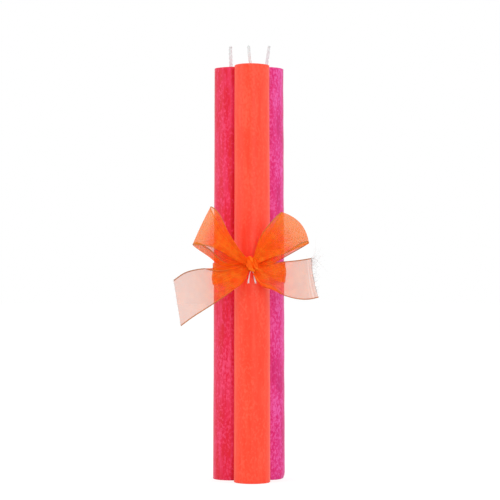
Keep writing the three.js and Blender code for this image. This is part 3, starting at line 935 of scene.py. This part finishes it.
# A loop or tail: its line from the knot outwards, the ribbon's width across it, pleats and folded hems.
# Beyond a fold the cloth comes back on itself, just in front of what it covers.
def bowPart(piece):
    sizes = clothSizes
    heading = math.radians(piece["heading"])
    along = np.linspace(0, 1, piece["steps"])[:, None]
    columns = ribbonColumns(ribbonSizes["columns"])[None, :]
    distance, aside, depth, slope, share = np.moveaxis(splineThrough(piece["stations"], along), -1, 0)
    start = knotReach(heading) * ribbonSizes["startInKnot"]
    distance = start + (piece["reach"] - start) * distance
    across = columns + 0 * along
    forward = 0 * across
    for fold in piece["folds"]:
        through = np.clip((along - fold["from"]) / (fold["to"] - fold["from"]), 0, 1)
        folded = fold["size"] * np.sin(np.pi * through) ** sizes["foldShape"]
        edge = fold["side"]
        across = across + edge * folded * (1 + edge * across) / 2
        inward = 1 - edge * across
        tight = sizes["foldTurn"] + sizes["foldTurnGrowth"] * folded
        rounded = np.sqrt(inward ** 2 + tight ** 2)
        turned = edge * (1 - rounded + tight)
        forward = forward + np.where(folded > 0, sizes["foldRise"] * (1 - inward / rounded), 0)
        across = np.where(folded > 0, turned, across)
    outwards = np.array([math.cos(heading), 0, math.sin(heading)])
    sideways = np.array([-math.sin(heading), 0, math.cos(heading)])
    bulge = piece["tipBulge"] * (distance / piece["reach"]) ** 4 * (1 - across ** 2)
    half = across * share * ribbonSizes["width"] / 2
    slope = np.radians(slope)
    points = knotMiddle + (distance + bulge)[..., None] * outwards \
        + (aside * piece["reach"] + 0 * across)[..., None] * sideways
    points[..., 0] += np.cos(slope) * half
    points[..., 2] += np.sin(slope) * half
    points[..., 1] += piece["plane"] + depth * piece["depth"] - forward \
        + pleatDepth(piece, across, along, share)
    middle = points[:, points.shape[1] // 2]
    length = np.concatenate([[0], np.cumsum(np.linalg.norm(np.diff(middle, axis=0), axis=1))])
    crease = 0
    if piece["tip"] is not None:
        crease = sizes["creaseCover"] * np.exp(-((along - piece["tip"]) / sizes["creaseWidth"]) ** 2)
    cover = wallCover(piece["cover"], share ** sizes["coverShape"], crease)
    if piece["strands"]:  # threads have come out of the weave in stripes beside the cut end
        stripes = 0.5 + 0.5 * np.sin(sizes["stripeAlong"] * along + sizes["stripeSlant"] * across)
        cover = cover * (1 - sizes["stripeLoss"] * smoothStep(along, *sizes["stripeFrom"]) * stripes)
    # The piece's share of the lighter, painted-light copy of the cloth's colour.
    looks = {"cover": cover, "paintedLightShare": piece["paintedLightShare"], "gathered": 1 - share}
    sheet = sheetPart(points, columns + 0 * along, length[:, None] / ribbonSizes["width"], looks)
    return sheet, length[-1], points[-1]


threadLook = {
    "dull": screenColour(226, 226, 226),
    "bright": screenColour(246, 244, 242),
    "grain": (0.0004, 0.0004, 0.0004),
    "brightFrom": (0.3, 0.7),
    "denserFrom": (0.2, 0.8),
    "roughness": 0.35,
    "leastAlpha": 0.45,
    "moreAlpha": 0.25,
}


# Clear threads that have come out of the weave.
def threadMaterial():
    look = threadLook
    shader = Shader(bpy.data.materials.new("clear_thread"))
    grain = shader.noise(shader.grain(look["grain"]), detail=2)
    return shader.surface({
        "Base Color": shader.blend(grain.between(*look["brightFrom"]), look["dull"], look["bright"]),
        "Roughness": look["roughness"],
        "Alpha": grain.between(*look["denserFrom"]) * look["moreAlpha"] + look["leastAlpha"],
    })


clearThread = threadMaterial()

fraySizes = {
    "fringe": 70,
    "fringeWithin": (0.02, 0.98),
    "fringeLength": 0.0009,
    "fringeLengths": (0.3, 1.4),  # as shares of the fringe's length
    "fringeDiameter": 0.00012,
    "fringeSpread": 0.35,
    "fringeCurl": 0.3,
    "fringeRoot": 0.0002,
    "strands": 90,
    "strandWithin": 0.85,
    "strandCrowding": 1.3,
    "strandLength": 0.0072,
    "shortestStrand": 0.35,  # as a share of the longest there
    "lowestStrand": 0.35,  # as a share of the uppermost
    "lengthGrowth": 3,
    "strandDiameter": 0.0002,
    "strandSpread": (0.3, 0.4, 0.7),
    "strandCurl": 1.5,
    "strandRoot": 0.0004,
    "strandSteps": 17,
    "strandSides": 6,
}


# The frayed cut end of a tail: a short fringe all along it, and on the right tail long loose strands that
# curl away from its upper part. The cut end is the last ring of the tail's surface.
def frayParts(cutEnd, outwards, strands):
    sizes, count = fraySizes, fraySizes["fringe"]
    pick = random.uniform(*sizes["fringeWithin"], count)
    starts = splineThrough(cutEnd, pick) - outwards * sizes["fringeRoot"]
    directions = outwards + random.normal(size=(count, 3)) * sizes["fringeSpread"]
    lengths = sizes["fringeLength"] * random.uniform(*sizes["fringeLengths"], count)
    parts = fibreParts(starts, directions, lengths, sizes["fringeDiameter"], sizes["fringeCurl"])
    if strands:
        count = sizes["strands"]
        pick = 1 - random.uniform(0, sizes["strandWithin"], count) ** sizes["strandCrowding"]
        starts = splineThrough(cutEnd, pick) - outwards * sizes["strandRoot"]
        directions = outwards + random.normal(size=(count, 3)) * sizes["strandSpread"]
        longer = sizes["lowestStrand"] + (1 - sizes["lowestStrand"]) * pick ** sizes["lengthGrowth"]
        lengths = sizes["strandLength"] * random.uniform(sizes["shortestStrand"], 1, count) * longer
        parts += fibreParts(starts, directions, lengths, sizes["strandDiameter"], sizes["strandCurl"],
                            sizes["strandSteps"], sizes["strandSides"])
    return parts


for name, piece in bowPieces.items():
    part, length, cutEnd = bowPart(piece)
    made = makePiece(f"organza_{name}", [part], organza, "ribbon_tie", [piece["node"]])
    frayed = []
    if piece["tip"] is None:
        heading = math.radians(piece["heading"])
        outwards = np.array([math.cos(heading), 0, 0])
        frayed = [makePiece(f"frayed_{name}", frayParts(cutEnd, outwards, piece["strands"]), clearThread,
                            "ribbon_tie")]
    print(f"{name}: ribbon {length * 1000:.1f} mm long")


knotSizes = {
    "alongSteps": 90,
    "roundSteps": 120,
    "spread": 1.2,
    "shoulderDrop": 0.55,
    "twist": 0.0009,
    "cover": 0.97,
    "weaveRound": 0.2,
    "weaveAcross": 0.4,
    "creaseTurn": 2.1,  # radians from one crease's wander to the next one's
    "creases": [  # place along the barrel, depth, wander and width
        (-0.55, 0.26, 0.34, 0.12), (-0.12, 0.24, 0.34, 0.10),
        (0.32, 0.32, 0.30, 0.12), (0.72, 0.20, 0.14, 0.12),
    ],
}


# The knot: the ribbon wrapped over the gathered middle of the bow, a barrel that narrows at its shoulders
# and is twisted along, with broad creases that run round it and wander.
def knotPart():
    sizes = knotSizes
    t = np.linspace(-1, 1, sizes["alongSteps"])[:, None]
    turn = np.linspace(0, 2 * np.pi, sizes["roundSteps"], endpoint=False)[None, :]
    depth = 0
    for k, (place, size, wander, width) in enumerate(sizes["creases"]):
        away = (t - place - wander * np.sin(turn + sizes["creaseTurn"] * k)) / width
        depth = depth + size * np.exp(-away ** 2)
    radius = (1 - sizes["shoulderDrop"] * np.abs(t) ** 3) * (1 - depth)
    x = t * sizes["spread"] * ribbonSizes["knotWrapWidth"] / 2
    x = x + sizes["twist"] * np.sin(2 * turn) * (1 - t ** 2)
    y = np.sin(turn) * radius * ribbonSizes["knotDepth"] / 2
    z = -np.cos(turn) * radius * ribbonSizes["knotHeight"] / 2
    tilt = math.radians(ribbonSizes["knotTilt"])
    points = np.stack([
        x * math.cos(tilt) - z * math.sin(tilt), y, x * math.sin(tilt) + z * math.cos(tilt)], axis=-1)
    uv = np.stack(np.broadcast_arrays(
        turn * sizes["weaveRound"], 0.5 + sizes["weaveAcross"] * t), axis=-1)
    # The knot takes the lighter, painted-light copy of the cloth's colour.
    looks = {"cover": sizes["cover"], "paintedLightShare": 1.0, "gathered": 1.0}
    return skinPart(points + knotMiddle, uv=uv, attributes=looks)


makePiece("organza_knot", [knotPart()], organza, "ribbon_tie", ["ribbon_knot"])

bandSizes = {
    "steps": 420,
    "columns": 81,
    "sideHeight": 0.0126,
    "sideCentre": 0.1252,
    "tilt": 1.3,
    "pleats": 8,
    "pleatDepth": 0.00005,
    "wander": 0.9,  # radians
    "wanderTurns": (2, 7),
    "wanderSlant": 2,  # radians from the middle to a hem
    "quickWander": 0.6,
    "unevenness": [(0.05, 3, 1), (0.03, 11, 0)],  # share of the height, waves round, start in radians
    "cover": 0.6,
    "coverWander": 0.06,
    "coverRipple": 9,  # radians from the middle to a hem
    "weaveRound": 4,
    "crest": 0.0030,
    "frontWithin": (0.045, 0.1),
    "narrowWithin": (0.08, 0.24),
}


# The ribbon's band: gathered narrow at the knot and wider round the back, with lengthwise pleats. It stands
# out over the cord and draws in to the wax on both sides of it, except at the front, where it rises into
# the knot and clears the crossed cord.
def bandPart():
    sizes = bandSizes
    turn = np.linspace(0, 1, sizes["steps"], endpoint=False)[:, None]
    columns = ribbonColumns(sizes["columns"])[None, :]
    front = nearFront(turn, *sizes["frontWithin"])
    narrow = nearFront(turn, *sizes["narrowWithin"])
    height = sizes["sideHeight"] + (tieSizes["bandHeight"] - sizes["sideHeight"]) * narrow
    uneven = 1
    for size, waves, start in sizes["unevenness"]:
        uneven = uneven + size * np.sin(2 * np.pi * waves * turn + start)
    raised = columns * uneven * height / 2
    level = tieLevel(turn, sizes["sideCentre"], tieSizes["knotCentre"], sizes["tilt"]) + raised
    aboveCord = (level - tieLevel(turn, cordHeight, tieSizes["crossingHeight"])) / sizes["crest"]
    crest = front + (1 - front) * np.exp(-aboveCord ** 2)
    slowTurns, quickTurns = sizes["wanderTurns"]
    slow = np.sin(2 * np.pi * slowTurns * turn)
    quick = np.sin(2 * np.pi * quickTurns * turn + 1 + sizes["wanderSlant"] * columns)
    wander = sizes["wander"] * (slow + sizes["quickWander"] * quick)
    pleat = sizes["pleatDepth"] * (1 - np.cos(sizes["pleats"] * np.pi * columns + wander))
    outside = tieSizes["clearance"] + crest * (bandInside - tieSizes["clearance"]) + front * cordCrossing \
        + pleat + ribbonSizes["hemThickness"] / 2
    surface = aroundCandles(turn, outside, level)
    share = height / ribbonSizes["width"] + sizes["coverWander"] * np.sin(
        sizes["coverRipple"] * columns + wander)
    # The band takes the lighter, painted-light copy of the cloth's colour.
    looks = {"cover": wallCover(sizes["cover"], share), "paintedLightShare": 1.0, "gathered": 1 - share}
    return sheetPart(surface, columns + 0 * turn, turn * sizes["weaveRound"], looks, "loop")


makePiece("organza_band", [bandPart()], organza, "ribbon_tie", ["ribbon_band"])
print("ribbon made")


# The photograph's view: from in front of the bundle, half way up, looking up a very little.
cameraPlace = {
    "distance": 1.062, "height": 0.125, "pitchUp": 0.762, "lens": 125.9, "sensor": 36, "nearest": 0.05,
}
lens = bpy.data.cameras.new("camera")
lens.lens = cameraPlace["lens"]
lens.sensor_width = cameraPlace["sensor"]
lens.clip_start = cameraPlace["nearest"]
camera = bpy.data.objects.new("camera", lens)
camera.location = (bundleAxis[0], bundleAxis[1] - cameraPlace["distance"], cameraPlace["height"])
camera.rotation_euler = (math.radians(90 + cameraPlace["pitchUp"]), 0, 0)
bpy.context.collection.objects.link(camera)
bpy.context.scene.camera = camera

# Soft studio light from all round, with a broad lamp on either side and above, and a tall narrow one to the
# right of the camera, whose shadow the photograph shows beside the front candle.
lampSet = {
    "left": {"place": (-1.35, -0.45, 0.45), "size": (0.9, 1.3), "power": 5.2},
    "right": {"place": (1.35, -0.45, 0.45), "size": (0.9, 1.3), "power": 3.6},
    "strip": {"place": (0.31, -1.32, 0.30), "size": (0.10, 1.2), "power": 4.8},
    "top": {"place": (0.0, 0.1, 1.5), "size": (1.4, 1.4), "power": 3.5},
}
lampAim = Vector((0, 0, 0.13))
for name, lamp in lampSet.items():
    light = bpy.data.lights.new(name, "AREA")
    light.shape = "RECTANGLE"
    light.size, light.size_y = lamp["size"]
    light.energy = lamp["power"]
    holder = bpy.data.objects.new(name, light)
    holder.location = lamp["place"]
    holder.rotation_euler = (lampAim - holder.location).to_track_quat("-Z", "Y").to_euler()
    bpy.context.collection.objects.link(holder)

worldLight = 0.86
world = bpy.data.worlds.new("studio")
bpy.context.scene.world = world
surround = Shader(world)
surround.node("OutputWorld", None, {"Surface": surround.node("Background", None, {
    "Color": (1, 1, 1, 1), "Strength": surround.seen() * (1 - worldLight) + worldLight})})

floorLook = {"reach": 6, "paint": 0.6, "faint": 0.36, "glow": 0.71}


# The floor: white to the eye, still darker where the object stands in its light.
def floorMaterial():
    look = floorLook
    shader = Shader(bpy.data.materials.new("floor"))
    paint = shader.node("BsdfDiffuse", None, {"Color": (*[look["paint"]] * 3, 1)})
    faint = shader.node("BsdfDiffuse", None, {"Color": (*[look["faint"]] * 3, 1)})
    glow = shader.node("Emission", None, {"Color": (1, 1, 1, 1), "Strength": look["glow"]})
    shown = shader.node("AddShader", None, {0: faint, 1: glow})
    mixed = shader.node("MixShader", None, {0: shader.seen(), 1: paint, 2: shown})
    shader.node("OutputMaterial", None, {"Surface": mixed})
    return shader.owner


reach = floorLook["reach"]
floorMesh = bpy.data.meshes.new("floor")
floorMesh.from_pydata(
    [(-reach, -reach, 0), (reach, -reach, 0), (reach, reach, 0), (-reach, reach, 0)], [], [(0, 1, 2, 3)])
floorMesh.materials.append(floorMaterial())
floor = bpy.data.objects.new("floor", floorMesh)
bpy.context.collection.objects.link(floor)

bpy.context.scene.view_settings.view_transform = "Standard"
bpy.context.scene.cycles.transparent_max_bounces = 48
bpy.context.scene.cycles.max_bounces = 16
bpy.context.scene.cycles.diffuse_bounces = 12
print("camera, lamps and floor made")
